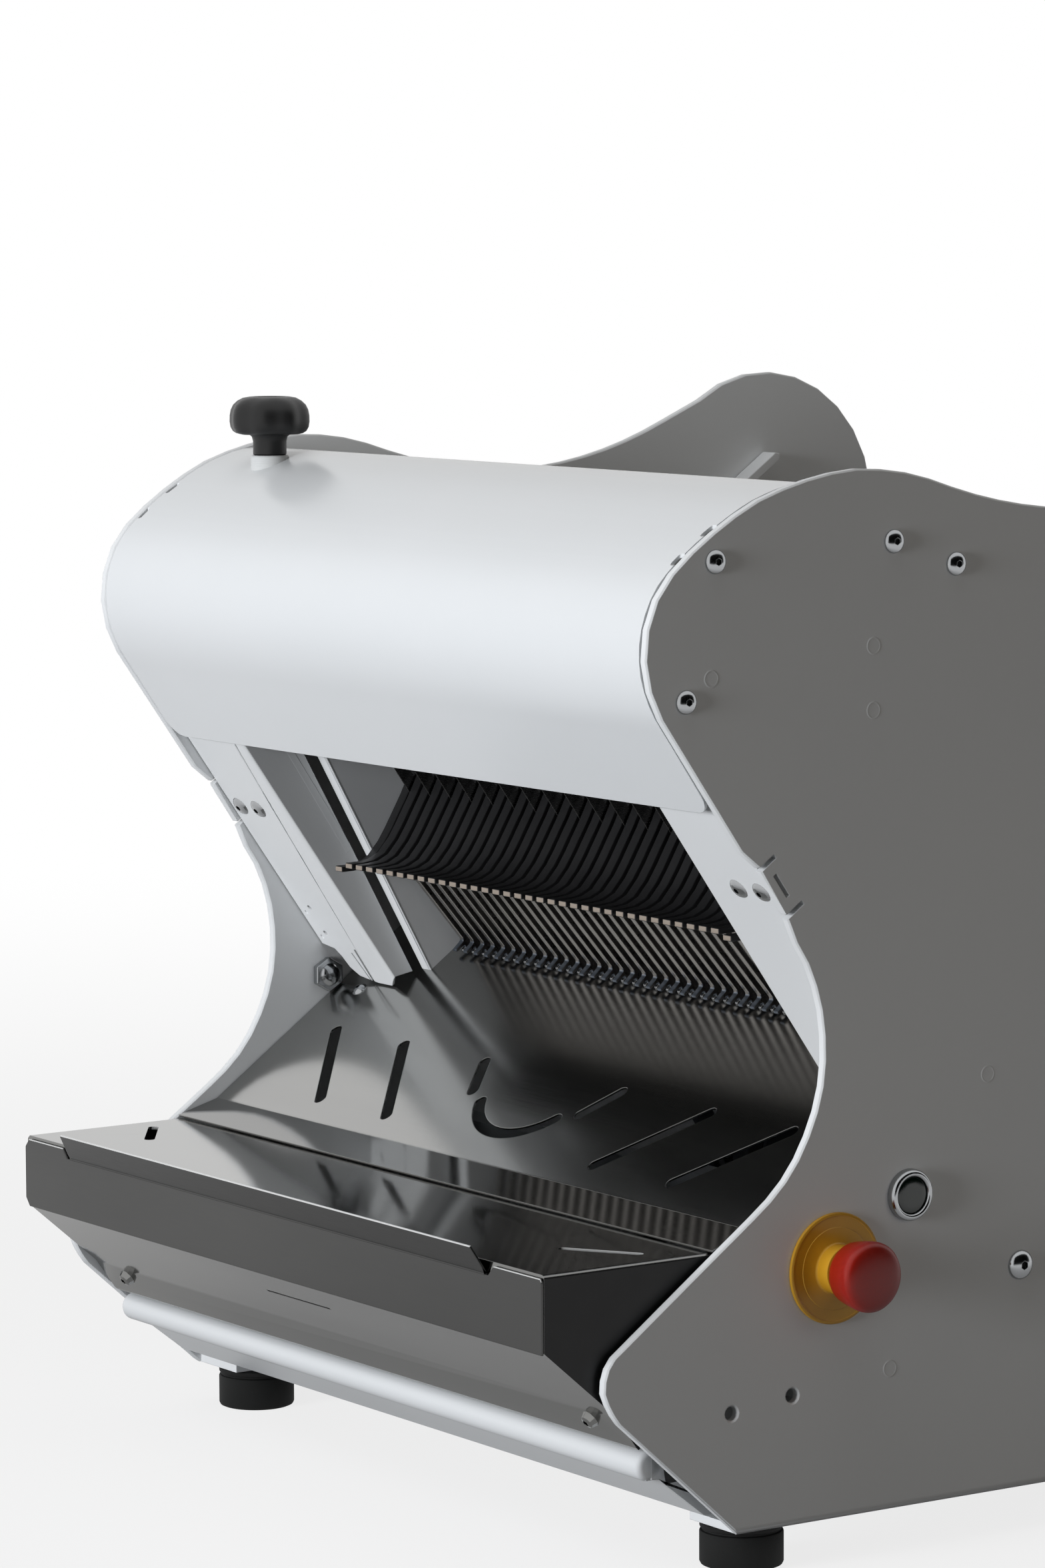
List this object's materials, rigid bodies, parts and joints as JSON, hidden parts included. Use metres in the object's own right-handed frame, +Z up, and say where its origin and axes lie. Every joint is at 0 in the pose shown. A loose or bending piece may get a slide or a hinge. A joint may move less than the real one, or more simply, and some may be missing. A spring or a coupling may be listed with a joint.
{
  "type": "bench-top bread slicer",
  "caption": "Bench-top powered bread slicer: curved side panels and hood, sloping stainless chute, pusher comb, reciprocating blade frames, receiving shelf, stop and start buttons.",
  "frame": {"origin": "middle of the standing base, at the height of the feet's undersides, below the centre of the overall box", "axes": "+Z up, -Y to the operator's front where the slices come out, +X to the side with the stop and start buttons"},
  "size_m": [0.644, 0.6962, 0.6643],
  "materials": {
    "belt_rubber": "moulded black rubber",
    "bright_steel": "bright ground steel",
    "cast": "blackened cast iron and steel",
    "chromed": "polished chrome",
    "dark_plastic": "dark moulded plastic",
    "gloss_white": "glossy white enamel",
    "green_plastic": "dark green translucent plastic",
    "powder_coat": "smooth light grey powder coat",
    "red_plastic": "red moulded plastic",
    "stainless": "fine brushed stainless sheet",
    "white_plastic": "white moulded plastic",
    "yellow_plastic": "warning yellow plastic",
    "zinc_steel": "grey zinc plated steel"
  },
  "bodies": {
    "housing": {"side_panel_right": "powder_coat", "side_panel_left": "powder_coat", "hood": "gloss_white", "guard_upright_right": "powder_coat", "guard_upright_left": "powder_coat", "channel_wall_right": "zinc_steel", "channel_wall_left": "zinc_steel", "chute": "stainless", "receiving_shelf": "stainless", "shelf_face": "stainless", "outfeed_comb": "zinc_steel", "slide_rail_right": "powder_coat", "slide_rail_left": "powder_coat", "frame_guide_right": "dark_plastic", "frame_guide_left": "dark_plastic", "bearing_bridge": "cast", "drive_belt": "belt_rubber", "motor": "zinc_steel", "drive_deck": "zinc_steel", "cross_beam_lower": "zinc_steel", "cross_beam_upper": "zinc_steel", "cross_beam_front": "zinc_steel", "rear_cover": "powder_coat", "loading_bed": "stainless", "stop_plate": "yellow_plastic", "start_bezel": "chromed", "knob_collar": "white_plastic", "foot_1": "belt_rubber", "foot_2": "belt_rubber", "foot_3": "belt_rubber", "foot_4": "belt_rubber", "panel_screw_right_1": "chromed", "panel_screw_right_2": "chromed", "panel_screw_right_3": "chromed", "panel_screw_right_4": "chromed", "panel_screw_left_1": "chromed", "panel_screw_left_2": "chromed", "panel_screw_left_3": "chromed", "panel_screw_left_4": "chromed", "guard_screw_right_1": "chromed", "guard_screw_right_2": "chromed", "guard_screw_left_1": "chromed", "guard_screw_left_2": "chromed", "hex_bolt_right": "cast", "hex_bolt_left": "cast", "frame_screw_right": "chromed", "cable_gland": "dark_plastic"},
    "pusher": {"pusher_comb": "dark_plastic", "pusher_carriage": "zinc_steel"},
    "frame_front": {"blade_frame_front": "bright_steel"},
    "frame_rear": {"blade_frame_rear": "bright_steel"},
    "front_rod": {"rod_front": "cast"},
    "rear_rod": {"rod_rear": "cast"},
    "crankshaft": {"drive_shaft": "bright_steel", "driven_pulley": "cast"},
    "motor_drive": {"motor_pulley": "cast"},
    "tray": {"crumb_tray": "gloss_white"},
    "stop": {"stop_button": "red_plastic"},
    "start": {"start_button": "green_plastic"},
    "adjuster": {"knob": "dark_plastic"}
  },
  "joints": [
    {"name": "pusher_slide", "type": "slide", "parent": "housing", "child": "pusher", "axis": [0, 0.8145, 0.5801], "range_m": [0, 0.24]},
    {"name": "front_frame_stroke", "type": "slide", "parent": "housing", "child": "frame_front", "axis": [0, -0.5801, 0.8145], "range_m": [-0.015, 0.015]},
    {"name": "rear_frame_stroke", "type": "slide", "parent": "housing", "child": "frame_rear", "axis": [0, -0.5801, 0.8145], "range_m": [-0.015, 0.015]},
    {"name": "front_rod_swing", "type": "hinge", "parent": "frame_front", "child": "front_rod", "pos_m": [-0.10456, 0.0053, 0.26181], "axis": [1, 0, 0], "range_deg": [0, 15.3]},
    {"name": "rear_rod_swing", "type": "hinge", "parent": "frame_rear", "child": "rear_rod", "pos_m": [0.06804, 0.01833, 0.27109], "axis": [1, 0, 0], "range_deg": [-15.3, 0]},
    {"name": "crankshaft_spin", "type": "hinge", "parent": "housing", "child": "crankshaft", "pos_m": [-0.01826, 0.07737, 0.17441], "axis": [1, 0, 0], "continuous": true},
    {"name": "motor_pulley_spin", "type": "hinge", "parent": "housing", "child": "motor_drive", "pos_m": [-0.01826, 0.17743, 0.154], "axis": [1, 0, 0], "continuous": true},
    {"name": "crumb_tray_slide", "type": "slide", "parent": "housing", "child": "tray", "axis": [0, -1, 0], "range_m": [0, 0.2]},
    {"name": "stop_press", "type": "slide", "parent": "housing", "child": "stop", "axis": [-1, 0, 0], "range_m": [0, 0.004]},
    {"name": "start_press", "type": "slide", "parent": "housing", "child": "start", "axis": [-1, 0, 0], "range_m": [0, 0.0015], "stiffness_N_per_m": 300, "springref_m": -0.002},
    {"name": "knob_turn", "type": "hinge", "parent": "housing", "child": "adjuster", "pos_m": [-0.24626, -0.18957, 0.623], "axis": [0, 0, 1], "continuous": true}
  ],
  "couplings": [
    {"joint": "rear_frame_stroke", "follows": "front_frame_stroke", "ratio": -1},
    {"joint": "motor_pulley_spin", "follows": "crankshaft_spin", "ratio": 2}
  ]
}
